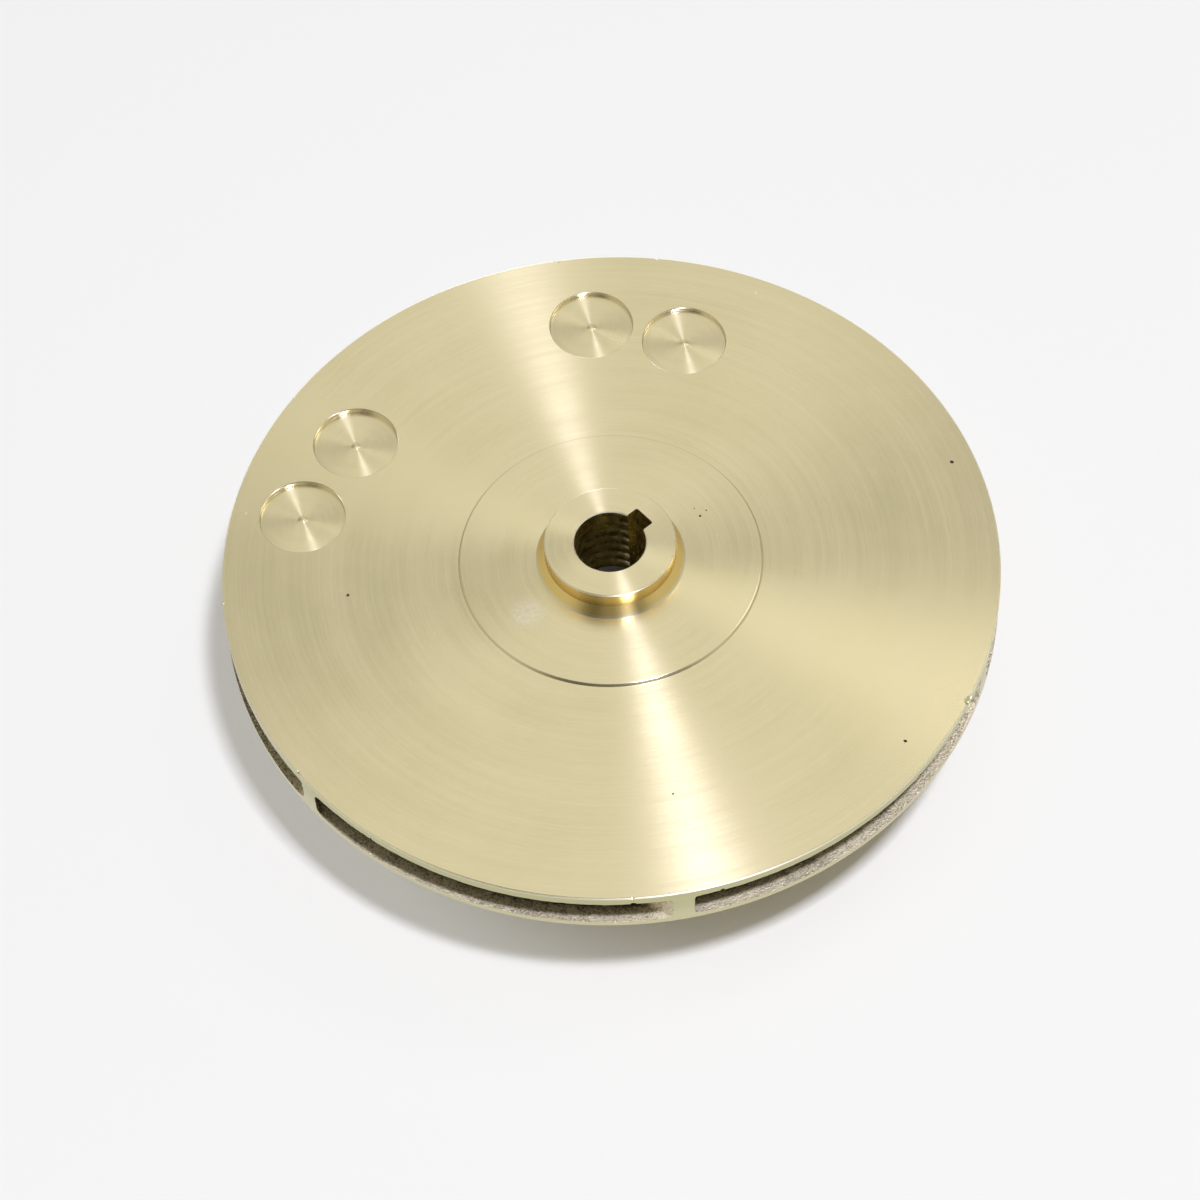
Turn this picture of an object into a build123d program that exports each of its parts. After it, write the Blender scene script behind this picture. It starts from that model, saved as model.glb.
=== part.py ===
from build123d import *
import os
from math import acos, cos, radians, sin, tan

# Closed pump impeller, cast in one piece in brass and then turned.
# Millimetres.  The origin is on the bore axis, in the plane of the suction eye's end face, and +Z
# points out of the back of the impeller, so the part stands on its eye ring with its boss upwards.
# Azimuths are in degrees from +X towards +Y, as seen from the back.

# ---- overall ------------------------------------------------------------------------------------
OUTER_DIA = 130.0            # turned rim of both shrouds
BACK_FACE_Z = 29.0           # end of the eye ring to the machined back face
EDGE_BREAK = 0.25            # chamfer on the turned outer edges

# ---- hub ----------------------------------------------------------------------------------------
BORE_DIA = 12.0
HUB_LENGTH = 16.0            # top of the boss to the end of the hub inside the eye
BOSS_DIA = 22.0
BOSS_HEIGHT = 5.0            # above the back face
BOSS_FLARE = 1.5             # 45 degree foot of the boss
PAD_DIA = 50.4               # raised face round the boss
PAD_HEIGHT = 0.5
PAD_DRAFT = 0.3              # the step round the pad leans out by this much
HUB_WALL = 4.2               # round the bore at the end of the hub
HUB_DRAFT_ANGLE = 12.0       # cast taper of the hub inside the eye
HUB_NOSE_CHAMFER = 1.0

# ---- keyway -------------------------------------------------------------------------------------
KEY_WIDTH = 4.0
KEY_DEPTH = 1.8              # beyond the bore
KEY_AZIMUTH = 39.8

# ---- shrouds and the passages between them ------------------------------------------------------
BACK_RIM_THICK = 1.8         # back shroud at the rim
BACK_HUB_THICK = 3.6         # back shroud where it meets the hub
OUTLET_WIDTH = 5.5           # height of the passages at the rim
INLET_WIDTH = 9.0            # height of the passages where they leave the eye
FRONT_RIM_THICK = 1.25       # front shroud at the rim
FRONT_EYE_THICK = 2.8        # front shroud where it meets the eye ring
HUB_TURN_RUN = 7.0           # soft turn from the hub to the back shroud
EYE_TURN_RUN = 4.8           # soft turn from the eye to the front shroud

# ---- suction eye --------------------------------------------------------------------------------
EYE_DIA = 48.0
EYE_RING_WALL = 4.0          # ring that runs in the casing
EYE_RING_LENGTH = 8.5        # turned land on the outside of the ring
EYE_RING_SHOULDER = 0.6      # step from the land up to the cast skin
EYE_RING_ROOT = 2.0          # bevel that fills the corner from the ring to the front shroud
EYE_LEAD_IN = 0.8            # chamfer inside the mouth

# ---- vanes --------------------------------------------------------------------------------------
# Each vane is a single arc in plan, thicker at the eye than at the rim.
VANE_COUNT = 6
VANE_HUB_RADIUS = 17.0       # inlet edge at the back shroud
VANE_EYE_SETBACK = 1.5       # inlet edge at the front shroud, outside the eye
VANE_INLET_ANGLE = 24.0      # from the tangent
VANE_OUTLET_ANGLE = 36.0     # from the tangent
VANE_INLET_THICK = 2.8
VANE_OUTLET_THICK = 2.0
VANE_END_AZIMUTH = 38.4      # where the first vane meets the rim

# ---- balancing pockets --------------------------------------------------------------------------
# Flat-bottomed cuts in the back face: distance from the axis, azimuth and depth.
POCKET_DIA = 14.5
POCKETS = [
    (49.8, 92.1, 0.8),
    (47.6, 72.6, 0.75),
    (50.2, 148.6, 1.0),
    (52.9, 167.9, 0.85),
]

# ---- worked out ---------------------------------------------------------------------------------
RIM_R = OUTER_DIA / 2
BORE_R = BORE_DIA / 2
BOSS_R = BOSS_DIA / 2
PAD_R = PAD_DIA / 2
EYE_R = EYE_DIA / 2
RING_R = EYE_R + EYE_RING_WALL
SHOULDER_R = RING_R + EYE_RING_SHOULDER
HUB_NOSE_R = BORE_R + HUB_WALL

BOSS_TOP_Z = BACK_FACE_Z + BOSS_HEIGHT
PAD_Z = BACK_FACE_Z + PAD_HEIGHT
HUB_NOSE_Z = BOSS_TOP_Z - HUB_LENGTH
OUTLET_TOP_Z = BACK_FACE_Z - BACK_RIM_THICK
OUTLET_FLOOR_Z = OUTLET_TOP_Z - OUTLET_WIDTH
RIM_BOTTOM_Z = OUTLET_FLOOR_Z - FRONT_RIM_THICK
HUB_ROOT_Z = BACK_FACE_Z - BACK_HUB_THICK
HUB_SPREAD = tan(radians(HUB_DRAFT_ANGLE))
HUB_ROOT_R = HUB_NOSE_R + (HUB_ROOT_Z - HUB_NOSE_Z) * HUB_SPREAD
EYE_FLOOR_Z = HUB_ROOT_Z - INLET_WIDTH
SHROUD_ROOT_Z = EYE_FLOOR_Z - FRONT_EYE_THICK
CLEAR = 1.0                  # cutters run this far past what they cut


def polar(radius, azimuth, height=0.0):
    """A point at a distance from the axis and an azimuth."""
    return Vector(radius * cos(radians(azimuth)), radius * sin(radians(azimuth)), height)


def lathe(*corners):
    """Turn an outline about Z.

    Each corner is its radius, its height and how far its soft turn runs back along both sides.
    """
    points = [Vector(corner[0], corner[1]) for corner in corners]
    turns = []
    for i, point in enumerate(points):
        run = corners[i][2]
        before = points[i - 1] - point
        after = points[(i + 1) % len(points)] - point
        turns.append((point + before.normalized() * run, point, point + after.normalized() * run))
    edges = [Line(turns[i - 1][2], turns[i][0]) for i in range(len(turns))]
    edges += [Bezier(*turns[i]) for i in range(len(turns)) if corners[i][2]]
    return revolve(Plane.XZ * make_face(Curve() + edges), Axis.Z)


def slope_point(inner, outer, radius):
    """Where the straight line through two points of an outline is at this radius."""
    share = (radius - inner[0]) / (outer[0] - inner[0])
    return (radius, inner[1] + share * (outer[1] - inner[1]))


def outside():
    """Everything inside the casting's outer skin, with the eye and the passages still filled."""
    shroud_root = (SHOULDER_R, SHROUD_ROOT_Z)
    shroud_rim = (RIM_R, RIM_BOTTOM_Z)
    shroud_start = slope_point(shroud_root, shroud_rim, SHOULDER_R + EYE_RING_ROOT)
    shroud_end = slope_point(shroud_root, shroud_rim, RIM_R - EDGE_BREAK)
    return lathe(
        (0, 0, 0),
        (RING_R - EDGE_BREAK, 0, 0),
        (RING_R, EDGE_BREAK, 0),
        (RING_R, EYE_RING_LENGTH, 0),
        (SHOULDER_R, EYE_RING_LENGTH, 0),
        (SHOULDER_R, SHROUD_ROOT_Z - EYE_RING_ROOT, 0),
        (*shroud_start, 0),
        (*shroud_end, 0),
        (RIM_R, RIM_BOTTOM_Z + EDGE_BREAK, 0),
        (RIM_R, BACK_FACE_Z - EDGE_BREAK, 0),
        (RIM_R - EDGE_BREAK, BACK_FACE_Z, 0),
        (PAD_R + PAD_DRAFT, BACK_FACE_Z, 0),
        (PAD_R, PAD_Z, 0),
        (BOSS_R + BOSS_FLARE, PAD_Z, 0),
        (BOSS_R, PAD_Z + BOSS_FLARE, 0),
        (BOSS_R, BOSS_TOP_Z, 0),
        (0, BOSS_TOP_Z, 0),
    )


def water_space():
    """The open space inside, from the mouth of the eye to past the rim, before the vanes."""
    floor_end = slope_point((EYE_R, EYE_FLOOR_Z), (RIM_R, OUTLET_FLOOR_Z), RIM_R + CLEAR)
    roof_end = slope_point((HUB_ROOT_R, HUB_ROOT_Z), (RIM_R, OUTLET_TOP_Z), RIM_R + CLEAR)
    return lathe(
        (0, -CLEAR, 0),
        (EYE_R + EYE_LEAD_IN + CLEAR, -CLEAR, 0),
        (EYE_R, EYE_LEAD_IN, 0),
        (EYE_R, EYE_FLOOR_Z, EYE_TURN_RUN),
        (*floor_end, 0),
        (*roof_end, 0),
        (HUB_ROOT_R, HUB_ROOT_Z, HUB_TURN_RUN),
        (HUB_NOSE_R + HUB_NOSE_CHAMFER * HUB_SPREAD, HUB_NOSE_Z + HUB_NOSE_CHAMFER, 0),
        (HUB_NOSE_R - HUB_NOSE_CHAMFER, HUB_NOSE_Z, 0),
        (0, HUB_NOSE_Z, 0),
    )


def vane_limits():
    """Where vanes may be: outside their slanted inlet edge, and well into both shrouds."""
    hub_edge = (VANE_HUB_RADIUS, HUB_ROOT_Z)
    eye_edge = (EYE_R + VANE_EYE_SETBACK, EYE_FLOOR_Z)
    end_r = RIM_R + 2 * CLEAR
    return lathe(
        (eye_edge[0], 0, 0),
        (*eye_edge, 0),
        (*hub_edge, 0),
        (hub_edge[0], BOSS_TOP_Z, 0),
        (end_r, BOSS_TOP_Z, 0),
        (end_r, 0, 0),
    )


def vane_plan():
    """Plan of the vane that meets the rim on the +X axis.

    The centre line is one arc that leaves the tangent by the inlet angle at the hub and by the
    outlet angle at the rim.
    """
    rim_cos = cos(radians(VANE_OUTLET_ANGLE))
    rim_sin = sin(radians(VANE_OUTLET_ANGLE))
    hub_cos = cos(radians(VANE_INLET_ANGLE))
    arc_r = (RIM_R**2 - VANE_HUB_RADIUS**2) / (2 * (RIM_R * rim_cos - VANE_HUB_RADIUS * hub_cos))
    centre = Vector(RIM_R - arc_r * rim_cos, arc_r * rim_sin)
    reach = centre.length

    def swing_to(radius):
        """Angle at the arc's centre between the axis and a point at this distance from it."""
        return acos((reach**2 + arc_r**2 - radius**2) / (2 * reach * arc_r))

    inlet_swing = swing_to(VANE_HUB_RADIUS) - swing_to(RIM_R)
    spare_swing = (VANE_OUTLET_THICK + 4 * CLEAR) / arc_r
    rim_direction = (Vector(RIM_R, 0) - centre).normalized()

    def side_point(share, side):
        """A point on one side of the vane, from the inlet at 0 to past the rim at 1."""
        swing = inlet_swing + share * (spare_swing - inlet_swing)
        outward = Vector(
            rim_direction.X * cos(swing) - rim_direction.Y * sin(swing),
            rim_direction.X * sin(swing) + rim_direction.Y * cos(swing),
        )
        thick = VANE_INLET_THICK + share * (VANE_OUTLET_THICK - VANE_INLET_THICK)
        return centre + outward * (arc_r + side * thick / 2)

    outline = Curve() + [
        ThreePointArc(side_point(0, 1), side_point(0.5, 1), side_point(1, 1)),
        Line(side_point(1, 1), side_point(1, -1)),
        ThreePointArc(side_point(1, -1), side_point(0.5, -1), side_point(0, -1)),
        Line(side_point(0, -1), side_point(0, 1)),
    ]
    return make_face(outline)


def passages():
    """The water space less the vanes."""
    blank = extrude(vane_plan(), BOSS_TOP_Z)
    first = Rot(0, 0, VANE_END_AZIMUTH) * (blank & vane_limits())
    space = water_space()
    for i in range(VANE_COUNT):
        space -= Rot(0, 0, 360 / VANE_COUNT * i) * first
    return space


def bore_and_keyway():
    """What the shaft and its key take out of the hub."""
    length = HUB_LENGTH + 2 * CLEAR
    middle_z = BOSS_TOP_Z - HUB_LENGTH / 2
    slot_reach = BORE_R + KEY_DEPTH
    slot = Pos(slot_reach / 2, 0, middle_z) * Box(slot_reach, KEY_WIDTH, length)
    return Pos(0, 0, middle_z) * Cylinder(BORE_R, length) + Rot(0, 0, KEY_AZIMUTH) * slot


def pockets():
    """Material milled off the back face to balance the impeller."""
    cuts = []
    for radius, azimuth, depth in POCKETS:
        cut_height = depth + CLEAR
        middle = polar(radius, azimuth, BACK_FACE_Z - depth + cut_height / 2)
        cuts.append(Pos(middle) * Cylinder(POCKET_DIA / 2, cut_height))
    return cuts


def impeller():
    return outside() - passages() - bore_and_keyway() - pockets()


os.makedirs("parts", exist_ok=True)
part = impeller()
part.label = "impeller"
export_step(part, "parts/impeller.step")
print("impeller", part.is_valid, len(part.solids()), "solid,", round(part.volume), "mm3")
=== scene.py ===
"""Closed pump impeller: its turned and cast surfaces, its finishes and a plain studio."""

import math

import bmesh
import bpy
from bpy.props import FloatProperty, FloatVectorProperty, IntProperty, PointerProperty
from mathutils import Matrix, Vector, noise


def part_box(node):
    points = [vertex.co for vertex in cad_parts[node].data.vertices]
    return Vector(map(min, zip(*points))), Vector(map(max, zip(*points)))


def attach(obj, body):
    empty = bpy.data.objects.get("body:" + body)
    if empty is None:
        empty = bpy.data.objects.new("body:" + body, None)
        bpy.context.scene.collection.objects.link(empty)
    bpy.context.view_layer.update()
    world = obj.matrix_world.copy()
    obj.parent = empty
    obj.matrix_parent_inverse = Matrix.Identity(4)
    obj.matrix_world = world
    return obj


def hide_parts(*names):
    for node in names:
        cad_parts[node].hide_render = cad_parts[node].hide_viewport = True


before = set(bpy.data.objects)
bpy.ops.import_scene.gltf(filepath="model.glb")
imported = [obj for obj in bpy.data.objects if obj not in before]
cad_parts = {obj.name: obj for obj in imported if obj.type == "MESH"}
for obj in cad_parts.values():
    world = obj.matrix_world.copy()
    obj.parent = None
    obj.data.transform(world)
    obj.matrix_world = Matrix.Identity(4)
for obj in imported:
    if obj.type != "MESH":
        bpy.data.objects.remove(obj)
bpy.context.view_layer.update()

bl_info = {
    "name": "Pump impeller",
    "version": (1, 0, 0),
    "blender": (4, 5, 0),
    "location": "View3D > Sidebar > Impeller",
    "description": "Builds a closed pump impeller, turned from a brass casting",
    "category": "Add Mesh",
}

MM = 0.001
LOW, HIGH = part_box("impeller")
RIM_DIA = HIGH.x - LOW.x
TOP_HEIGHT = HIGH.z

TURNED, CAST, BORED, SKIN = range(4)          # the body's material slots
RIM_SEGMENTS = 576
EYE_SEGMENTS = 288
POCKET_SEGMENTS = 96
TURN_STEPS = 10                      # points along a soft turn of an outline
SHROUD_RINGS = 10                    # rings of faces under the front shroud
VANE_ROWS = 8
VANE_COLUMNS = 48
BORE_RIDGES = 7
RIDGE_STEPS = 6

VANE_SHIFTS = {3: 1.0}               # degrees by which a core moved in the mould
POCKETS = (
    # distance from the axis, azimuth in degrees and depth
    (49.8 * MM, 92.1, 0.8 * MM),
    (47.6 * MM, 72.6, 0.75 * MM),
    (50.2 * MM, 148.6, 1.0 * MM),
    (52.9 * MM, 167.9, 0.85 * MM),
)
POCKET_R = 7.25 * MM
POCKET_SHEET = 0.06 * MM             # the milled floors lie this thick in the pockets

# Small marks, all in millimetres and degrees.
PITS = (
    # place on the back face and size
    (-43.9, -5.3, 0.27),
    (46.3, -38.1, 0.30),
    (8.5, -46.2, 0.17),
    (58.5, 17.0, 0.34),
    (15.3, 7.6, 0.22),
    (16.4, 8.7, 0.14),
    (14.4, 9.2, 0.11),
)
RIM_NICKS = (
    # azimuth and size
    (96.6, 0.75),
    (80.9, 0.45),
    (73.5, 0.55),
    (145.7, 0.4),
    (185.3, 0.35),
    (217.4, 0.6),
    (271.1, 0.45),
    (331.7, 1.1),
)
LIP_NOTCHES = (
    # azimuth, height and size, on the lips of the outlets
    (271.3, 27.2, 0.5),
    (283.9, 27.3, 0.4),
    (305.0, 21.7, 0.45),
    (268.7, 21.6, 0.4),
    (276.4, 24.4, 0.22),
    (318.0, 27.2, 0.35),
    (232.0, 27.3, 0.3),
    (248.5, 21.7, 0.35),
)
STAIN = (-14.2, -10.6, 29.5)
STAIN_SIZE = 2.5
SPECKS = ((-61.3, 12.3, 29.0), (27.3, 55.4, 29.0))
SPECK_SIZE = 0.22

# Lathe marks: the pitch in millimetres, and how quickly a mark changes round the axis.
FINE_MARKS = (0.2, 1.6)
BANDS = (1.1, 0.5)
SWEEP = (9.0, 0.9)
ARCS = (0.26, 32.0)
BORE_MARKS = (0.15, 1.0)

# Directions in the sky: a dark card that stands on all four sides, and a bright window.
CARD = (0.37, 0.54, 0.76)
WINDOW = (0.43, 0.37, 0.82)
# Painted shadow: round this centre the table's white glow fades out, which darkens the table where
# the part's shadow falls.
PAINTED_SHADOW_CENTRE = (14.0, -14.0, 0.0)   # where the part's shadow lies on the table, in millimetres
PAINTED_SHADOW_REACH = 46.0


# ---- settings --------------------------------------------------------------------------------


def length(name, text, millimetres):
    """A length that a user may change, given here in millimetres."""
    return FloatProperty(
        name=name, description=text, default=millimetres * MM, unit="LENGTH", precision=5
    )


def angle(name, text, degrees):
    """An angle that a user may change, given here in degrees."""
    return FloatProperty(
        name=name, description=text, default=math.radians(degrees), subtype="ANGLE", unit="ROTATION"
    )


def colour(name, text, value):
    """A colour that a user may change."""
    return FloatVectorProperty(
        name=name, description=text, default=value, subtype="COLOR", min=0.0, max=1.0
    )


def point(name, text, metres):
    """A place that a user may change, given here in metres."""
    return FloatVectorProperty(
        name=name, description=text, default=metres, subtype="TRANSLATION", unit="LENGTH"
    )


class ImpellerHub(bpy.types.PropertyGroup):
    """Sizes of the hub, its boss, bore and keyway."""

    bore_dia: length("Bore", "Diameter of the bore", 12.0)
    boss_dia: length("Boss", "Diameter of the boss on the back face", 22.0)
    boss_flare: length("Boss flare", "45 degree foot of the boss", 1.5)
    pad_dia: length("Pad", "Diameter of the raised face round the boss", 50.4)
    pad_height: length("Pad height", "Height of the pad above the back face", 0.5)
    pad_draft: length("Pad draft", "How far the step round the pad leans out", 0.3)
    hub_length: length("Hub length", "Top of the boss to the end of the hub in the eye", 16.0)
    hub_wall: length("Hub wall", "Wall round the bore at the end of the hub", 4.2)
    hub_draft: angle("Hub draft", "Cast taper of the hub inside the eye", 12.0)
    key_width: length("Keyway width", "Width of the keyway", 4.0)
    key_depth: length("Keyway depth", "Depth of the keyway beyond the bore", 1.8)
    key_azimuth: angle("Keyway azimuth", "Where the keyway is", 39.8)


class ImpellerShrouds(bpy.types.PropertyGroup):
    """Sizes of the two shrouds, the eye and the space between them."""

    outer_dia: FloatProperty(
        name="Outer diameter",
        description="Turned rim of both shrouds",
        default=RIM_DIA,
        unit="LENGTH",
        precision=5,
    )
    top_height: FloatProperty(
        name="Height",
        description="End of the eye ring to the top of the boss",
        default=TOP_HEIGHT,
        unit="LENGTH",
        precision=5,
    )
    boss_height: length("Boss height", "Top of the boss above the back face", 5.0)
    back_rim: length("Back shroud at the rim", "Thickness of the back shroud at the rim", 1.8)
    back_hub: length("Back shroud at the hub", "Thickness of the back shroud at the hub", 3.6)
    outlet_width: length("Outlet width", "Height of the passages at the rim", 5.5)
    inlet_width: length("Inlet width", "Height of the passages at the eye", 9.0)
    front_rim: length("Front shroud at the rim", "Thickness of the front shroud there", 1.25)
    front_eye: length("Front shroud at the eye", "Thickness of the front shroud there", 2.8)
    hub_turn: length("Hub turn", "Soft turn from the hub to the back shroud", 7.0)
    eye_turn: length("Eye turn", "Soft turn from the eye to the front shroud", 4.8)
    eye_dia: length("Eye", "Diameter of the suction eye", 48.0)
    ring_wall: length("Ring wall", "Wall of the ring that runs in the casing", 4.0)
    ring_land: length("Ring land", "Length of the turned land on the ring", 8.5)
    ring_shoulder: length("Ring shoulder", "Step from the land up to the cast skin", 0.6)
    ring_root: length("Ring root", "Soft turn from the ring to the front shroud", 3.4)
    lead_in: length("Lead-in", "Bevel inside the mouth of the eye", 0.8)
    edge_break: length("Edge break", "Bevel on the turned outer edges", 0.2)


class ImpellerVanes(bpy.types.PropertyGroup):
    """Sizes of the backward-curved vanes."""

    count: IntProperty(name="Vanes", description="Number of vanes", default=6, min=2)
    hub_radius: length("Inlet radius", "Inlet edge at the back shroud", 17.0)
    eye_setback: length("Eye setback", "Inlet edge at the front shroud, outside the eye", 1.5)
    inlet_angle: angle("Inlet angle", "Vane angle from the tangent at the hub", 24.0)
    outlet_angle: angle("Outlet angle", "Vane angle from the tangent at the rim", 36.0)
    inlet_thick: length("Inlet thickness", "Thickness of a vane at its inlet", 2.8)
    outlet_thick: length("Outlet thickness", "Thickness of a vane at the rim", 2.0)
    end_azimuth: angle("End azimuth", "Where the first vane meets the rim", 38.4)


class ImpellerFinish(bpy.types.PropertyGroup):
    """Colours of the brass and depths of its surface marks."""

    bright: colour("Bright brass", "Freshly turned brass", (0.80, 0.715, 0.51))
    olive: colour("Olive brass", "Turned brass where it has dulled", (0.71, 0.635, 0.42))
    # Painted reflection and shade: this deeper gold is laid on the upright side and foot of the
    # boss.
    boss_shade_gold: colour("Golden brass", "Side of the boss, which has kept its depth", (0.84, 0.60, 0.17))
    # Painted shade: this darker colour is laid on the rims of both shrouds.
    rim: colour("Rim brass", "Edges of the shrouds, dulled by handling", (0.50, 0.48, 0.26))
    # Painted highlight: this pale colour is laid on the broken edges and on the mouth of the bore.
    edge_highlight: colour("Worn edge", "Broken edges, rubbed bright", (0.93, 0.87, 0.66))
    cast: colour("Cast skin", "Sand-cast skin in the passages", (0.84, 0.74, 0.51))
    # The near black fills the hollows of the grain and also serves as painted shade deep in the
    # passages.
    scale: colour("Scale", "Burnt sand and scale left in the passages", (0.040, 0.031, 0.015))
    stain: colour("Stain", "Faint dried stain on the pad", (0.88, 0.81, 0.70))
    oil: colour("Oil", "Old oil on the bore", (0.62, 0.50, 0.17))
    oiled: colour("Oiled brass", "Bored brass under a film of oil", (0.94, 0.80, 0.38))
    polish: FloatProperty(name="Polish", description="Roughness between the marks", default=0.145)
    mark_depth: length("Tool marks", "Depth of the lathe marks", 0.010)
    skin_depth: length("Skin", "Depth of the grains that are too fine for the mesh", 0.42)
    sand_coarse: length("Coarse sand", "Depth of the coarse waves of the cast skin", 0.16)
    sand_fine: length("Fine sand", "Depth of the fine grain of the cast skin", 0.13)
    grain: length("Casting mesh", "Mesh size of the cast surfaces", 0.77)


class ImpellerStudio(bpy.types.PropertyGroup):
    """Camera, table, sky and lamp."""

    focal_length: FloatProperty(
        name="Focal length", description="Lens of the camera in millimetres", default=113.0
    )
    pitch: angle("Pitch", "How far the camera looks up from straight down", 35.945)
    roll: angle("Roll", "Turn of the camera about its own axis", -2.325)
    shift: FloatVectorProperty(
        name="Shift", description="Shift of the picture", default=(-0.01375, -0.1065), size=2
    )
    camera_place: point("Camera", "Where the camera stands", (0.00155, -0.35786, 0.54699))
    backdrop: colour("Backdrop", "Colour of the table", (0.95, 0.935, 0.825))
    table_glow: FloatProperty(name="Table glow", description="White shown by itself", default=0.33)
    sky_light: FloatProperty(name="Sky light", description="Light from the soft sky", default=0.30)
    sky_seen: FloatProperty(name="Sky seen", description="Sky as metal shows it", default=0.89)
    key_power: FloatProperty(name="Key", description="Power of the overhead lamp", default=50.0)
    key_place: point("Key place", "Where the overhead lamp hangs", (0.46, -0.62, 2.48))
    key_size: length("Key size", "Width of the overhead lamp", 270.0)
    key_tint: FloatVectorProperty(
        name="Key tint",
        description="Colour of the lamp",
        default=(0.96, 0.98, 1.20),
        subtype="COLOR",
        min=0.0,
    )


# ---- shader building -------------------------------------------------------------------------


class Level:
    """A number that changes over a surface, for use in ordinary expressions."""

    def __init__(self, finish, socket):
        self.finish = finish
        self.socket = socket

    def _math(self, operation, *values):
        return self.finish.node("ShaderNodeMath", {"operation": operation}, *values)

    def __add__(self, other):
        return self._math("ADD", self, other)

    __radd__ = __add__

    def __sub__(self, other):
        return self._math("SUBTRACT", self, other)

    def __rsub__(self, other):
        return self._math("SUBTRACT", other, self)

    def __mul__(self, other):
        return self._math("MULTIPLY", self, other)

    __rmul__ = __mul__

    def __truediv__(self, other):
        return self._math("DIVIDE", self, other)

    def __rtruediv__(self, other):
        return self._math("DIVIDE", other, self)

    def maximum(self, other):
        return self._math("MAXIMUM", self, other)

    def rise(self, start, end):
        """0 below start and 1 above end, with a smooth step between."""
        settings = {"interpolation_type": "SMOOTHSTEP"}
        return self.finish.node("ShaderNodeMapRange", settings, self, start, end, 0.0, 1.0)

    def between(self, start, end, soft):
        """1 from start to end and 0 outside them, with soft ends of one width."""
        return self.rise(start, start + soft) * (1.0 - self.rise(end - soft, end))


class Finish:
    """A material, or a world, and the nodes that it is made of."""

    def __init__(self, owner):
        self.owner = owner
        owner.use_nodes = True
        self.tree = owner.node_tree
        self.tree.nodes.clear()

    def node(self, kind, settings, *values, output=0, **named):
        """Adds a node: its type, its settings, then the values or links of its sockets."""
        made = self.tree.nodes.new(kind)
        for key, value in settings.items():
            setattr(made, key, value)
        sockets = [(made.inputs[i], value) for i, value in enumerate(values)]
        sockets += [(made.inputs[key.replace("_", " ")], value) for key, value in named.items()]
        for socket, value in sockets:
            if isinstance(value, Level):
                self.tree.links.new(value.socket, socket)
            elif value is not None:
                socket.default_value = value
        return Level(self, made.outputs[output]) if len(made.outputs) else None

    def split(self, vector):
        """The three parts of a vector."""
        first = self.node("ShaderNodeSeparateXYZ", {}, vector)
        outputs = first.socket.node.outputs
        return [Level(self, outputs[i]) for i in range(3)]

    def join(self, x, y, z):
        return self.node("ShaderNodeCombineXYZ", {}, x, y, z)

    def vector(self, operation, *values, output=0):
        return self.node("ShaderNodeVectorMath", {"operation": operation}, *values, output=output)

    def mix(self, factor, first, second):
        """A colour between two others."""
        made = self.tree.nodes.new("ShaderNodeMix")
        made.data_type = "RGBA"
        for key, value in (("Factor_Float", factor), ("A_Color", first), ("B_Color", second)):
            socket = next(s for s in made.inputs if s.identifier == key)
            if isinstance(value, Level):
                self.tree.links.new(value.socket, socket)
            else:
                socket.default_value = (*value, 1.0) if key != "Factor_Float" else value
        return Level(self, next(s for s in made.outputs if s.identifier == "Result_Color"))

    def noise(self, place, scale, detail, roughness):
        """Cloud noise from 0 to 1, with its scale in waves per millimetre."""
        return self.node(
            "ShaderNodeTexNoise", {}, Vector=place, Scale=scale, Detail=detail, Roughness=roughness
        )

    def bump(self, height, distance):
        """Surface relief from a height, with its full depth in metres."""
        return self.node("ShaderNodeBump", {}, Strength=1.0, Distance=distance, Height=height)

    def metal(self, base, roughness, normal, metallic=1.0, **fixed):
        """Ends the material in a metal surface."""
        named = {"Base_Color": base, "Roughness": roughness, "Normal": normal, "Metallic": metallic}
        shader = self.node("ShaderNodeBsdfPrincipled", {}, **named, **fixed)
        self.node("ShaderNodeOutputMaterial", {}, shader)
        return self.owner


def in_millimetres(finish):
    """The place on the object in millimetres."""
    place = finish.node("ShaderNodeTexCoord", {}, output=3)
    return finish.vector("SCALE", place, None, None, 1.0 / MM)


def round_axis(finish, place):
    """Distance from the axis, the height and the direction round the axis."""
    x, y, z = finish.split(place)
    across = finish.join(x, y, 0.0)
    radius = finish.vector("LENGTH", across, output=1)
    return radius, z, finish.vector("NORMALIZE", across)


def tool_marks(finish, axis, marks):
    """Rings that a lathe tool leaves, which fade in and out round the axis."""
    radius, height, direction = axis
    pitch, swirl = marks
    travel = radius + height
    around = finish.vector("SCALE", direction, None, None, swirl)
    x, y, _ = finish.split(around)
    return finish.noise(finish.join(x, y, travel / pitch), 1.0, 3.0, 0.6)


def spot(finish, place, centre, size, softness):
    """1 in a spot round a centre, both in millimetres, and 0 outside it."""
    offset = finish.vector("SUBTRACT", place, centre)
    distance = finish.vector("LENGTH", offset, output=1)
    return 1.0 - distance.rise(size * (1 - softness), size * (1 + softness))


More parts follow.
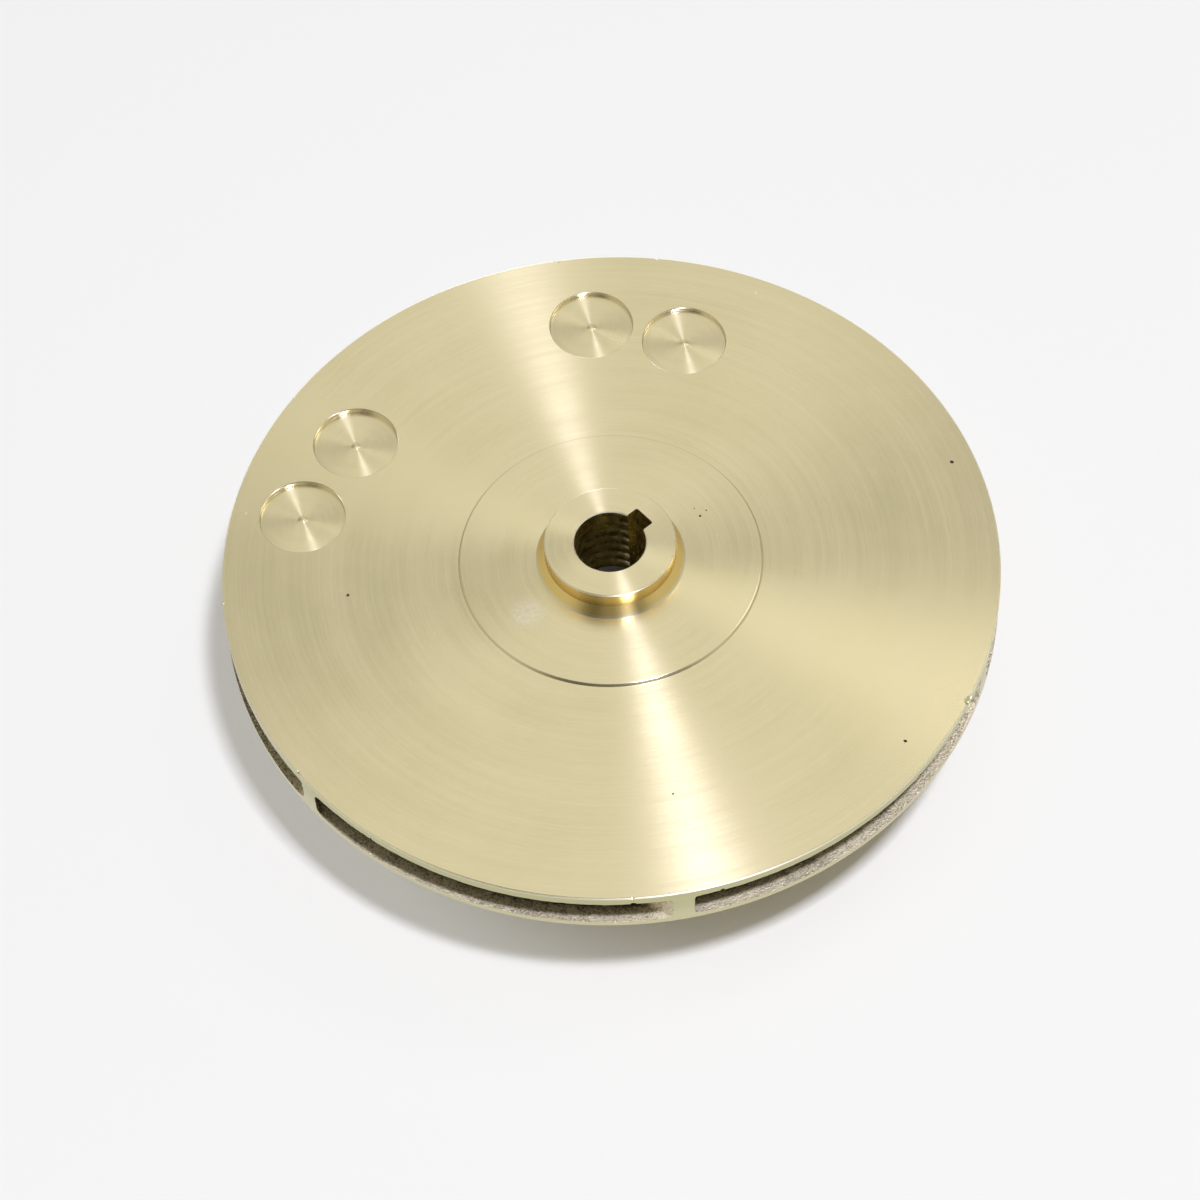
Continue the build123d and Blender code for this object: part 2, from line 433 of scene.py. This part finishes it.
def turned_brass(name, look, at, centre=(0.0, 0.0), coarse=1.0):
    """Bright brass with lathe marks about an upright axis through a centre in millimetres."""
    finish = Finish(bpy.data.materials.new(name))
    place = in_millimetres(finish)
    own = finish.vector("SUBTRACT", place, (*centre, 0.0))
    axis = round_axis(finish, own)
    radius, height, _ = axis
    face, top, rim = at.face_z / MM, at.top_z / MM, at.rim_r / MM

    fine = tool_marks(finish, axis, FINE_MARKS)
    bands = tool_marks(finish, axis, BANDS)
    sweep = tool_marks(finish, axis, SWEEP)
    cloud = finish.noise(place, 0.045, 4.0, 0.55)
    dull = (sweep * 0.4 + cloud * 0.7 + bands * 0.15).rise(0.45, 0.9)
    arcs = tool_marks(finish, axis, ARCS)
    brushed = (arcs - 0.5) * 0.65 + (fine - 0.5) * 0.4 + (bands - 0.5) * 0.3
    tone = finish.mix(0.12 + dull * 0.6 + brushed, look.bright, look.olive)

    # Painted reflection and shade: the upright side and foot of the boss are coloured a deeper
    # gold.
    boss_side_shade = height.between(face + 0.7, top - 0.2, 0.25)
    tone = finish.mix(boss_side_shade * 0.75, tone, look.boss_shade_gold)
    # Painted shade: the rims of the shrouds take a darker colour, with more of it on the back
    # shroud's rim.
    rim_shade = radius.rise(rim - 2.0, rim - 1.0) * (1.0 - height.rise(face - 0.5, face - 0.25))
    upper_rim_shade = height.rise(face - 7.0, face - 3.0)
    tone = finish.mix(rim_shade * (0.6 + upper_rim_shade * 0.35), tone, look.rim)
    # Painted highlight: a pale band just under the back face and the boss top stands for the bright
    # lines on the broken edges; the band is also made rougher.
    edges = [height.between(level - 0.22, level - 0.02, 0.05) for level in (face, top)]
    edge = edges[0].maximum(edges[1])
    tone = finish.mix(edge, tone, look.edge_highlight)

    crust = finish.noise(place, 1.4, 4.0, 0.7).rise(0.38, 0.62)
    stain = spot(finish, place, STAIN, STAIN_SIZE, 0.45) * (0.3 + crust * 0.5)
    for speck in SPECKS:
        stain = stain.maximum(spot(finish, place, speck, SPECK_SIZE, 0.5))
    tone = finish.mix(stain, tone, look.stain)

    roughness = look.polish + fine * 0.05 + bands * 0.04 + dull * 0.03 + stain * 0.03
    roughness = roughness + edge * 0.3
    relief = fine * 0.4 + bands * 0.15 + arcs * 0.45
    normal = finish.bump(relief, look.mark_depth * coarse)
    return finish.metal(tone, roughness, normal, Anisotropic=0.97, Anisotropic_Rotation=0.25)


def cast_brass(name, look, at, shaded_inside):
    """Sand-cast brass skin: coarse, speckled, with burnt sand in its hollows.

    Inside the passages it is painted near black away from the rim: painted shade where the back
    shroud shades the floor.
    """
    finish = Finish(bpy.data.materials.new(name))
    place = in_millimetres(finish)
    grain = finish.noise(place, 2.6, 2.0, 0.6)
    lumps = finish.noise(place, 0.55, 3.0, 0.6)
    cloud = finish.noise(place, 0.09, 3.0, 0.6)
    crest = (grain * 0.8 + lumps * 0.35 + cloud * 0.2).rise(0.54, 0.70)
    # Painted shade: inside the passages the skin darkens to near black from about 2 mm in from the
    # rim inwards, where the back shroud shades the floor; outside it keeps a fixed share.
    clean_and_shade = 0.8
    if shaded_inside:
        radius, _, _ = round_axis(finish, place)
        rim = at.rim_r / MM
        clean_and_shade = 0.06 + 0.94 * (radius + (lumps - 0.5) * 2.0).rise(rim - 3.8, rim - 1.8)
    tone = finish.mix((0.45 + crest * 0.55) * clean_and_shade, look.scale, look.cast)
    glint = grain.rise(0.50, 0.64)
    tone = finish.mix(glint * clean_and_shade * 0.7, tone, look.bright)
    roughness = 0.62 - glint * 0.25
    metallic = 0.2 + 0.5 * glint
    normal = finish.bump(grain * 0.7 + lumps * 0.4, look.skin_depth)
    return finish.metal(tone, roughness, normal, metallic, Specular_IOR_Level=0.2)


def bored_brass(name, look, at):
    """Brass of the bore and the keyway, under old oil, with a painted highlight on the edge at the
    mouth.
    """
    finish = Finish(bpy.data.materials.new(name))
    place = in_millimetres(finish)
    axis = round_axis(finish, place)
    top = at.top_z / MM
    chatter = finish.noise(place, 0.5, 3.0, 0.6)
    fine = tool_marks(finish, axis, BORE_MARKS)
    tone = finish.mix(chatter.rise(0.35, 0.7), look.oil, look.oiled)
    # Painted highlight: a pale band at the top of the bore.
    edge = axis[1].rise(top - 0.24, top - 0.18)
    tone = finish.mix(edge, tone, look.edge_highlight)
    roughness = 0.20 + chatter * 0.14 + edge * 0.2
    normal = finish.bump(fine, look.mark_depth)
    return finish.metal(tone, roughness, normal)


# ---- mesh building ---------------------------------------------------------------------------


def new_object(name, mesh):
    made = bpy.data.objects.new(name, mesh)
    bpy.context.scene.collection.objects.link(made)
    return made


def from_bmesh(name, shape):
    bmesh.ops.recalc_face_normals(shape, faces=shape.faces)
    mesh = bpy.data.meshes.new(name)
    shape.to_mesh(mesh)
    shape.free()
    return new_object(name, mesh)


def soft_outline(corners):
    """Points of an outline.  Each corner is its radius, its height and the run of its soft turn."""
    points = []
    for i, (radius, height, run) in enumerate(corners):
        corner = Vector((radius, height))
        if not run:
            points.append(corner)
            continue
        entry = corner + (Vector(corners[i - 1][:2]) - corner).normalized() * run
        leave = corner + (Vector(corners[i + 1][:2]) - corner).normalized() * run
        for step in range(TURN_STEPS + 1):
            t = step / TURN_STEPS
            points.append(entry * (1 - t) ** 2 + corner * (2 * t * (1 - t)) + leave * t**2)
    return points


def lathe(name, corners, segments, slot=TURNED):
    """A closed solid turned about Z.  The outline starts and ends on the axis."""
    shape = bmesh.new()
    rings = []
    for radius, height in soft_outline(corners):
        if radius < 1e-9:
            rings.append([shape.verts.new((0, 0, height))])
            continue
        turns = [math.tau * i / segments for i in range(segments)]
        rings.append(
            [shape.verts.new((radius * math.cos(a), radius * math.sin(a), height)) for a in turns]
        )
    for lower, upper in zip(rings, rings[1:]):
        for i in range(segments):
            j = (i + 1) % segments
            corners_of_face = [lower[i % len(lower)], lower[j % len(lower)]]
            corners_of_face += [upper[j % len(upper)], upper[i % len(upper)]]
            face = shape.faces.new(list(dict.fromkeys(corners_of_face)))
            face.material_index = slot
    return from_bmesh(name, shape)


def grid_solid(name, sheets, slot=TURNED):
    """A closed solid between two sheets of points, each a list of rows, with walls all round."""
    shape = bmesh.new()
    made = [[[shape.verts.new(p) for p in row] for row in sheet] for sheet in sheets]
    rows, columns = len(made[0]), len(made[0][0])
    for sheet in made:
        for i in range(rows - 1):
            for j in range(columns - 1):
                shape.faces.new(
                    (sheet[i][j], sheet[i + 1][j], sheet[i + 1][j + 1], sheet[i][j + 1])
                )
    near, far = made
    border = [(i, 0) for i in range(rows)] + [(rows - 1, j) for j in range(1, columns)]
    border += [(i, columns - 1) for i in range(rows - 2, -1, -1)]
    border += [(0, j) for j in range(columns - 2, 0, -1)]
    for (i, j), (k, m) in zip(border, border[1:] + border[:1]):
        shape.faces.new((near[i][j], near[k][m], far[k][m], far[i][j]))
    for face in shape.faces:
        face.material_index = slot
    return from_bmesh(name, shape)


def bake_modifiers(piece):
    """Applies a piece's modifiers to its mesh."""
    graph = bpy.context.evaluated_depsgraph_get()
    graph.update()
    mesh = bpy.data.meshes.new_from_object(piece.evaluated_get(graph))
    old = piece.data
    piece.modifiers.clear()
    piece.data = mesh
    bpy.data.meshes.remove(old)


def cut_with(piece, tool):
    """Cuts a piece with a tool, which brings its own finish slots, and deletes the tool."""
    for finish in piece.data.materials:
        tool.data.materials.append(finish)
    cut = piece.modifiers.new("cut", "BOOLEAN")
    cut.operation = "DIFFERENCE"
    cut.solver = "MANIFOLD"
    cut.object = tool
    bake_modifiers(piece)
    bpy.data.objects.remove(tool)


def merge(name, tools):
    """One object from several that don't touch."""
    shape = bmesh.new()
    for tool in tools:
        shape.from_mesh(tool.data)
        bpy.data.objects.remove(tool)
    mesh = bpy.data.meshes.new(name)
    shape.to_mesh(mesh)
    shape.free()
    return new_object(name, mesh)


def polar(radius, azimuth, height=0.0):
    """A point at a distance from the axis and an azimuth in radians."""
    return Vector((radius * math.cos(azimuth), radius * math.sin(azimuth), height))


# ---- the impeller's forms --------------------------------------------------------------------


class Levels:
    """Radii and heights that follow from the sizes."""

    def __init__(self, hub, shrouds):
        self.rim_r = shrouds.outer_dia / 2
        self.bore_r = hub.bore_dia / 2
        self.boss_r = hub.boss_dia / 2
        self.pad_r = hub.pad_dia / 2
        self.eye_r = shrouds.eye_dia / 2
        self.ring_r = self.eye_r + shrouds.ring_wall
        self.shoulder_r = self.ring_r + shrouds.ring_shoulder
        self.nose_r = self.bore_r + hub.hub_wall
        self.top_z = shrouds.top_height
        self.face_z = self.top_z - shrouds.boss_height
        self.pad_z = self.face_z + hub.pad_height
        self.nose_z = self.top_z - hub.hub_length
        self.roof_rim_z = self.face_z - shrouds.back_rim
        self.floor_rim_z = self.roof_rim_z - shrouds.outlet_width
        self.under_rim_z = self.floor_rim_z - shrouds.front_rim
        self.roof_hub_z = self.face_z - shrouds.back_hub
        self.floor_eye_z = self.roof_hub_z - shrouds.inlet_width
        self.under_eye_z = self.floor_eye_z - shrouds.front_eye
        self.root_r = self.nose_r + (self.roof_hub_z - self.nose_z) * math.tan(hub.hub_draft)


def on_slope(inner, outer, radius):
    """Where the straight line through two points of an outline is at this radius."""
    share = (radius - inner[0]) / (outer[0] - inner[0])
    return radius, inner[1] + share * (outer[1] - inner[1])


def blank(hub, shrouds, at):
    """The turned outside, with the eye and the passages still filled."""
    edge = shrouds.edge_break
    root = (at.shoulder_r, at.under_eye_z)
    rim = (at.rim_r, at.under_rim_z)
    start = at.shoulder_r + shrouds.ring_root + MM
    ring_step = (at.rim_r - MM - start) / SHROUD_RINGS
    rings = [start + ring_step * i for i in range(SHROUD_RINGS + 1)]
    corners = [
        (0, 0, 0),
        (at.ring_r - edge, 0, 0),
        (at.ring_r, edge, 0),
        (at.ring_r, shrouds.ring_land, 0),
        (at.shoulder_r - edge / 2, shrouds.ring_land, 0),
        (at.shoulder_r, shrouds.ring_land + edge / 2, 0),
        (*root, shrouds.ring_root),
        *[(*on_slope(root, rim, radius), 0) for radius in rings],
        (*on_slope(root, rim, at.rim_r - edge), 0),
        (at.rim_r, at.under_rim_z + edge * 0.8, 0),
        (at.rim_r, at.face_z - edge, 0),
        (at.rim_r - edge, at.face_z, 0),
        (at.pad_r + hub.pad_draft, at.face_z, 0),
        (at.pad_r + hub.pad_draft * 0.15, at.pad_z - hub.pad_height * 0.15, 0),
        (at.pad_r - hub.pad_draft * 0.3, at.pad_z, 0),
        (at.boss_r + hub.boss_flare, at.pad_z, 0),
        (at.boss_r, at.pad_z + hub.boss_flare, 0),
        (at.boss_r, at.top_z - edge, 0),
        (at.boss_r - edge, at.top_z, 0),
        (0, at.top_z, 0),
    ]
    return lathe("impeller_body", corners, RIM_SEGMENTS)


def sand_wave(place):
    """Height of the slow waves of a sand-cast skin at a place in millimetres, about -1 to 1."""
    return noise.noise(place * 0.16) * 0.6 + noise.noise(place * 0.45) * 0.5


def cast_underside(body, look, at):
    """A copy of the turned blank with a sand-cast skin under its front shroud."""
    shape = bmesh.new()
    shape.from_mesh(body.data)
    bpy.data.objects.remove(body)
    inner, outer, top = at.shoulder_r, at.rim_r - 0.5 * MM, at.under_rim_z
    for face in shape.faces:
        centre = face.calc_center_median()
        if centre.xy.length > inner and centre.z < top and face.normal.z < -0.3:
            face.material_index = SKIN
    for vertex in shape.verts:
        if inner + 3 * MM < vertex.co.xy.length < outer and vertex.co.z < top:
            vertex.co.z += look.sand_coarse * sand_wave(vertex.co / MM)
    return from_bmesh("impeller_body", shape)


def vane(vanes, at, number):
    """One vane, thicker and taller than the passage, with its slanted inlet edge."""
    rim_cos = math.cos(vanes.outlet_angle)
    hub_cos = math.cos(vanes.inlet_angle)
    arc_r = (at.rim_r**2 - vanes.hub_radius**2) / (
        2 * (at.rim_r * rim_cos - vanes.hub_radius * hub_cos)
    )
    centre = Vector((at.rim_r - arc_r * rim_cos, arc_r * math.sin(vanes.outlet_angle)))
    reach = centre.length
    to_rim = Vector((at.rim_r, 0)) - centre
    start_turn = math.atan2(to_rim.y, to_rim.x)
    shift = math.radians(VANE_SHIFTS.get(number, 0.0))
    azimuth = vanes.end_azimuth + math.tau / vanes.count * number + shift
    spin = Matrix.Rotation(azimuth, 4, "Z")

    def swing_to(radius):
        return math.acos((reach**2 + arc_r**2 - radius**2) / (2 * reach * arc_r))

    longest = swing_to(vanes.hub_radius) - swing_to(at.rim_r)
    past_rim = 7 * MM / arc_r
    bottom, top = at.under_eye_z, at.face_z
    hub_edge = (at.roof_hub_z, vanes.hub_radius)
    eye_edge = (at.floor_eye_z, at.eye_r + vanes.eye_setback)
    sheets = []
    for side in (1, -1):
        sheet = []
        for row in range(VANE_ROWS + 1):
            z = bottom + (top - bottom) * row / VANE_ROWS
            share = (z - eye_edge[0]) / (hub_edge[0] - eye_edge[0])
            inlet_r = eye_edge[1] + share * (hub_edge[1] - eye_edge[1])
            inlet = swing_to(min(max(inlet_r, vanes.hub_radius), at.rim_r)) - swing_to(at.rim_r)
            line = []
            for column in range(VANE_COLUMNS + 1):
                swing = inlet + (past_rim - inlet) * column / VANE_COLUMNS
                along = 1 - swing / longest
                thick = vanes.inlet_thick + along * (vanes.outlet_thick - vanes.inlet_thick)
                turn = start_turn + swing
                distance = arc_r + side * thick / 2
                flat = centre + Vector((math.cos(turn), math.sin(turn))) * distance
                line.append(spin @ Vector((flat.x, flat.y, z)))
            sheet.append(line)
        sheets.append(sheet)
    return grid_solid(f"vane_{number}", sheets)


def water_space(hub, shrouds, at):
    """The open space inside, from below the eye to past the rim, before the vanes."""
    past = 4 * MM
    facing = 0.5 * MM
    floor = (at.eye_r, at.floor_eye_z)
    roof = (at.root_r, at.roof_hub_z)
    corners = [
        (0, -past, 0),
        (at.eye_r, -past, 0),
        (*floor, shrouds.eye_turn),
        (*on_slope(floor, (at.rim_r, at.floor_rim_z), at.rim_r + past), 0),
        (*on_slope(roof, (at.rim_r, at.roof_rim_z), at.rim_r + past), 0),
        (*roof, shrouds.hub_turn),
        (at.nose_r, at.nose_z - facing, 0),
        (0, at.nose_z - facing, 0),
    ]
    return lathe("water_space", corners, EYE_SEGMENTS)


def sand_cast(piece, look):
    """A copy of a cutter with a sand-cast skin: rounded corners, slow waves and grain."""
    remesh = piece.modifiers.new("even", "REMESH")
    remesh.mode = "VOXEL"
    remesh.voxel_size = look.grain
    soften = piece.modifiers.new("soften", "SMOOTH")
    soften.factor = 0.5
    soften.iterations = 2
    bake_modifiers(piece)
    shape = bmesh.new()
    shape.from_mesh(piece.data)
    bpy.data.objects.remove(piece)
    for vertex in shape.verts:
        place = vertex.co / MM
        grain = noise.noise(place * 0.9)
        vertex.co += vertex.normal * (look.sand_coarse * sand_wave(place) + look.sand_fine * grain)
    for face in shape.faces:
        face.material_index = CAST
    return from_bmesh("sand_cast", shape)


def passages(hub, shrouds, vanes, look, at):
    """The cutter for the eye and the cast passages between the vanes."""
    space = water_space(hub, shrouds, at)
    cut_with(space, merge("vanes", [vane(vanes, at, i) for i in range(vanes.count)]))
    return sand_cast(space, look)


def facing_cutter(at):
    """The cut that leaves the end of the hub flat."""
    radius, deep = at.nose_r + 1.2 * MM, at.nose_z - 3 * MM
    corners = [(0, deep, 0), (radius, deep, 0), (radius, at.nose_z, 0), (0, at.nose_z, 0)]
    return lathe("facing", corners, EYE_SEGMENTS)


def mouth_cutter(shrouds, at):
    """The bevel inside the mouth of the eye."""
    top = shrouds.lead_in + MM
    corners = [(0, -MM, 0), (at.eye_r + top, -MM, 0), (at.eye_r - MM, top, 0), (0, top, 0)]
    return lathe("mouth", corners, RIM_SEGMENTS)


def bore_cutter(hub, at):
    """The bored hole, with the ridges that the boring tool left."""
    depth = 0.14 * MM
    mouth = 0.2 * MM
    steps = BORE_RIDGES * RIDGE_STEPS
    corners = [(0, at.nose_z - MM, 0), (at.bore_r, at.nose_z - MM, 0)]
    start, end = at.nose_z, at.top_z - mouth
    for i in range(steps + 1):
        share = i / steps
        swell = depth * abs(math.sin(math.pi * BORE_RIDGES * share)) ** 0.7
        corners.append((at.bore_r + swell, start + (end - start) * share, 0))
    corners += [
        (at.bore_r + mouth, at.top_z, 0),
        (at.bore_r + mouth + MM, at.top_z + MM, 0),
        (0, at.top_z + MM, 0),
    ]
    return lathe("bore", corners, POCKET_SEGMENTS, BORED)


def keyway_cutter(hub, at):
    """The slot for the key."""
    spin = Matrix.Rotation(hub.key_azimuth, 4, "Z")
    outer = at.bore_r + hub.key_depth
    half = hub.key_width / 2
    soft = 0.25 * MM
    low, high = at.nose_z - MM, at.top_z + MM
    plan = [(0, half), (outer - soft, half), (outer, half - soft)]
    sheets = []
    for side in (1, -1):
        rows = [[spin @ Vector((x, side * y, z)) for x, y in plan] for z in (low, high)]
        sheets.append(rows)
    return grid_solid("keyway", sheets, BORED)


def pocket_cutter(at, number):
    """One flat-bottomed balancing cut in the back face."""
    radius, azimuth, depth = POCKETS[number]
    floor = at.face_z - depth - POCKET_SHEET
    burr = 0.11 * MM
    corners = [
        (0, floor, 0),
        (POCKET_R - burr, floor, 0),
        (POCKET_R, floor + burr, 0),
        (POCKET_R, at.face_z - burr, 0),
        (POCKET_R + burr * 2, at.face_z + burr, 0),
        (POCKET_R + burr * 2, at.face_z + MM, 0),
        (0, at.face_z + MM, 0),
    ]
    cutter = lathe(f"pocket_{number}", corners, POCKET_SEGMENTS)
    cutter.data.transform(Matrix.Translation(polar(radius, math.radians(azimuth))))
    return cutter


def milled_outline(top):
    """Outline of a milled pocket floor at a height, with the pip that the cutter left."""
    edge = POCKET_R - 0.05 * MM
    return [
        (0, top - POCKET_SHEET, 0),
        (edge - 0.05 * MM, top - POCKET_SHEET, 0),
        (edge, top - POCKET_SHEET * 0.3, 0),
        (edge - 0.1 * MM, top, 0),
        (0.95 * MM, top, 0),
        (0.7 * MM, top + 0.04 * MM, 0),
        (0.3 * MM, top + 0.12 * MM, 0),
        (0, top + 0.14 * MM, 0),
    ]


def nick(name, place, size, squash, seed, slot=CAST):
    """A small rough lump that leaves a pit or a nick."""
    shape = bmesh.new()
    bmesh.ops.create_icosphere(shape, subdivisions=2, radius=1.0)
    for vertex in shape.verts:
        rough = 1 + 0.35 * noise.noise(vertex.co * 1.3 + Vector((seed * 7.1, 0, 0)))
        vertex.co = Vector(a * b * size * rough for a, b in zip(vertex.co, squash)) + place
    for face in shape.faces:
        face.material_index = slot
    return from_bmesh(name, shape)


def blemishes(at):
    """Casting pits in the back face, nicks along the rim and torn lips of the outlets."""
    tools = []
    for i, (azimuth, height, size) in enumerate(LIP_NOTCHES):
        place = polar(at.rim_r, math.radians(azimuth), height * MM)
        tools.append(nick(f"notch_{i}", place, size * MM, (1, 1, 0.8), i + 40))
    for i, (x, y, size) in enumerate(PITS):
        on_pad = math.hypot(x, y) * MM < at.pad_r
        place = Vector((x * MM, y * MM, at.pad_z if on_pad else at.face_z))
        tools.append(nick(f"pit_{i}", place, size * MM, (1, 1, 0.9), i))
    for i, (azimuth, size) in enumerate(RIM_NICKS):
        place = polar(at.rim_r + size * 0.25 * MM, math.radians(azimuth), at.face_z)
        tools.append(nick(f"nick_{i}", place, size * MM, (1, 1, 0.6), i + 20, TURNED))
    return merge("blemishes", tools)


def finish_normals(piece, sharp_angle):
    """Smooth shading that keeps flat faces flat and breaks at hard edges."""
    mesh = piece.data
    mesh.shade_smooth()
    mesh.set_sharp_from_angle(angle=sharp_angle)
    even = piece.modifiers.new("even normals", "WEIGHTED_NORMAL")
    even.keep_sharp = True
    even.weight = 80
    bake_modifiers(piece)


class IMPELLER_OT_body(bpy.types.Operator):
    """Builds the casting with its turned faces, bore, keyway, pockets and small blemishes"""

    bl_idname = "impeller.body"
    bl_label = "Impeller body"

    def execute(self, context):
        scene = context.scene
        hub, shrouds, vanes = scene.impeller_hub, scene.impeller_shrouds, scene.impeller_vanes
        look = scene.impeller_finish
        at = Levels(hub, shrouds)
        body = cast_underside(blank(hub, shrouds, at), look, at)
        body.data.materials.append(turned_brass("turned_brass", look, at))
        body.data.materials.append(cast_brass("passage_brass", look, at, True))
        body.data.materials.append(bored_brass("bored_brass", look, at))
        body.data.materials.append(cast_brass("cast_brass", look, at, False))
        cut_with(body, passages(hub, shrouds, vanes, look, at))
        cut_with(body, facing_cutter(at))
        cut_with(body, mouth_cutter(shrouds, at))
        cut_with(body, merge("pockets", [pocket_cutter(at, i) for i in range(len(POCKETS))]))
        cut_with(body, bore_cutter(hub, at))
        cut_with(body, keyway_cutter(hub, at))
        cut_with(body, blemishes(at))
        finish_normals(body, math.radians(32))
        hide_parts("impeller")
        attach(body, "root")
        return {"FINISHED"}


class IMPELLER_OT_pocket_floors(bpy.types.Operator):
    """Lays the milled floors in the balancing pockets, each with its own tool marks"""

    bl_idname = "impeller.pocket_floors"
    bl_label = "Pocket floors"

    def execute(self, context):
        scene = context.scene
        look = scene.impeller_finish
        at = Levels(scene.impeller_hub, scene.impeller_shrouds)
        for number, (radius, azimuth, depth) in enumerate(POCKETS):
            outline = milled_outline(at.face_z - depth)
            floor = lathe(f"pocket_floor_{number}", outline, POCKET_SEGMENTS)
            middle = polar(radius, math.radians(azimuth))
            floor.data.transform(Matrix.Translation(middle))
            finish_normals(floor, math.radians(40))
            centre = (middle.x / MM, middle.y / MM)
            milled = turned_brass(f"milled_brass_{number}", look, at, centre, 1.3)
            floor.data.materials.append(milled)
            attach(floor, "root")
        return {"FINISHED"}


# ---- studio ----------------------------------------------------------------------------------


def key_lamp(studio):
    """A soft square lamp high above the part, to the right of the camera."""
    data = bpy.data.lights.new("key_lamp", "AREA")
    data.size = studio.key_size
    data.energy = studio.key_power
    data.color = studio.key_tint
    lamp = bpy.data.objects.new("key_lamp", data)
    bpy.context.scene.collection.objects.link(lamp)
    aim = Vector((0, 0, 0.03)) - Vector(studio.key_place)
    lamp.location = studio.key_place
    lamp.rotation_euler = aim.to_track_quat("-Z", "Y").to_euler()


def camera(studio):
    """The camera, which looks down on the back face."""
    lens = bpy.data.cameras.new("camera")
    lens.lens = studio.focal_length
    lens.sensor_width = 36.0
    lens.shift_x, lens.shift_y = studio.shift
    lens.clip_start = 0.02
    made = bpy.data.objects.new("camera", lens)
    bpy.context.scene.collection.objects.link(made)
    tilt = Matrix.Rotation(studio.pitch, 4, "X") @ Matrix.Rotation(studio.roll, 4, "Z")
    made.matrix_world = Matrix.Translation(studio.camera_place) @ tilt
    return made


def table(studio):
    """A plain table that shows the part's shadow and is a little whiter where it is clear; its glow
    fades out in a spot round the part, which paints extra shadow there.
    """
    shape = bmesh.new()
    bmesh.ops.create_grid(shape, x_segments=2, y_segments=2, size=3.0)
    made = from_bmesh("table", shape)
    finish = Finish(bpy.data.materials.new("table_top"))
    matt = finish.node("ShaderNodeBsdfDiffuse", {}, Color=(*studio.backdrop, 1.0), Roughness=0.0)
    glow = finish.node("ShaderNodeEmission", {}, Color=(1.0, 1.0, 0.985, 1.0), Strength=1.0)
    # Painted shadow: the glow is taken away in a fixed spot round the part, so the table is darker
    # there.
    painted_shadow = spot(finish, in_millimetres(finish), PAINTED_SHADOW_CENTRE, PAINTED_SHADOW_REACH, 0.35)
    share = background_rays(finish) * (1.0 - painted_shadow) * studio.table_glow
    both = finish.node("ShaderNodeMixShader", {}, share, matt, glow)
    finish.node("ShaderNodeOutputMaterial", {}, both)
    made.data.materials.append(finish.owner)
    return made


def background_rays(finish):
    """1 for rays that should see the plain backdrop: from the camera, a mirror or glass."""
    path = finish.node("ShaderNodeLightPath", {})
    outputs = path.socket.node.outputs
    seen = [Level(finish, outputs[name]) for name in ("Is Camera Ray", "Is Glossy Ray")]
    through = Level(finish, outputs["Is Transmission Ray"])
    return seen[0].maximum(seen[1]).maximum(through)


def glossy_rays(finish):
    """1 for rays that left a shiny surface."""
    path = finish.node("ShaderNodeLightPath", {})
    return Level(finish, path.socket.node.outputs["Is Glossy Ray"])


def sky(studio):
    """A soft white sky with a brighter window to the right and darker cards round it.

    Metal shows it whole, and it lights less than that.
    """
    world = bpy.data.worlds.new("sky")
    bpy.context.scene.world = world
    finish = Finish(world)
    direction = finish.node("ShaderNodeTexCoord", {}, output=0)
    _, behind, up = finish.split(direction)
    front = (0.0 - behind).rise(0.35, 0.95)
    aside = finish.vector("ABSOLUTE", direction)
    card = spot(finish, aside, CARD, 0.23, 0.4)
    window = spot(finish, direction, WINDOW, 0.14, 0.5)
    dome = 0.72 + 0.33 * up.rise(0.6, 0.82) - 0.6 * front - 0.6 * card + 5.0 * window
    seen = background_rays(finish)
    strength = dome * (studio.sky_light + (studio.sky_seen - studio.sky_light) * seen)
    tint = finish.mix(glossy_rays(finish), (1.0, 0.985, 0.93), (1.0, 0.98, 0.84))
    shown = finish.node("ShaderNodeBackground", {}, Color=tint, Strength=strength)
    finish.node("ShaderNodeOutputWorld", {}, shown)


class IMPELLER_OT_stage(bpy.types.Operator):
    """Sets the table, the soft sky, the lamp and the camera"""

    bl_idname = "impeller.stage"
    bl_label = "Studio"

    def execute(self, context):
        scene = context.scene
        studio = scene.impeller_studio
        table(studio)
        sky(studio)
        key_lamp(studio)
        scene.camera = camera(studio)
        scene.view_settings.view_transform = "Standard"
        return {"FINISHED"}


class IMPELLER_PT_sidebar(bpy.types.Panel):
    """Sizes, finishes and the buttons that build each part"""

    bl_idname = "IMPELLER_PT_sidebar"
    bl_label = "Pump impeller"
    bl_space_type = "VIEW_3D"
    bl_region_type = "UI"
    bl_category = "Impeller"

    def draw(self, context):
        for operator in OPERATORS:
            self.layout.operator(operator.bl_idname)
        for name, group in GROUPS.items():
            box = self.layout.box()
            settings = getattr(context.scene, name)
            for field in group.__annotations__:
                box.prop(settings, field)


GROUPS = {
    "impeller_hub": ImpellerHub,
    "impeller_shrouds": ImpellerShrouds,
    "impeller_vanes": ImpellerVanes,
    "impeller_finish": ImpellerFinish,
    "impeller_studio": ImpellerStudio,
}
OPERATORS = (IMPELLER_OT_body, IMPELLER_OT_pocket_floors, IMPELLER_OT_stage)


def register():
    for name, group in GROUPS.items():
        bpy.utils.register_class(group)
        setattr(bpy.types.Scene, name, PointerProperty(type=group))
    for item in (*OPERATORS, IMPELLER_PT_sidebar):
        bpy.utils.register_class(item)


def unregister():
    for item in (IMPELLER_PT_sidebar, *reversed(OPERATORS)):
        bpy.utils.unregister_class(item)
    for name, group in GROUPS.items():
        delattr(bpy.types.Scene, name)
        bpy.utils.unregister_class(group)


def main():
    register()
    bpy.ops.impeller.body()
    bpy.ops.impeller.pocket_floors()
    bpy.ops.impeller.stage()


if __name__ == "__main__":
    main()
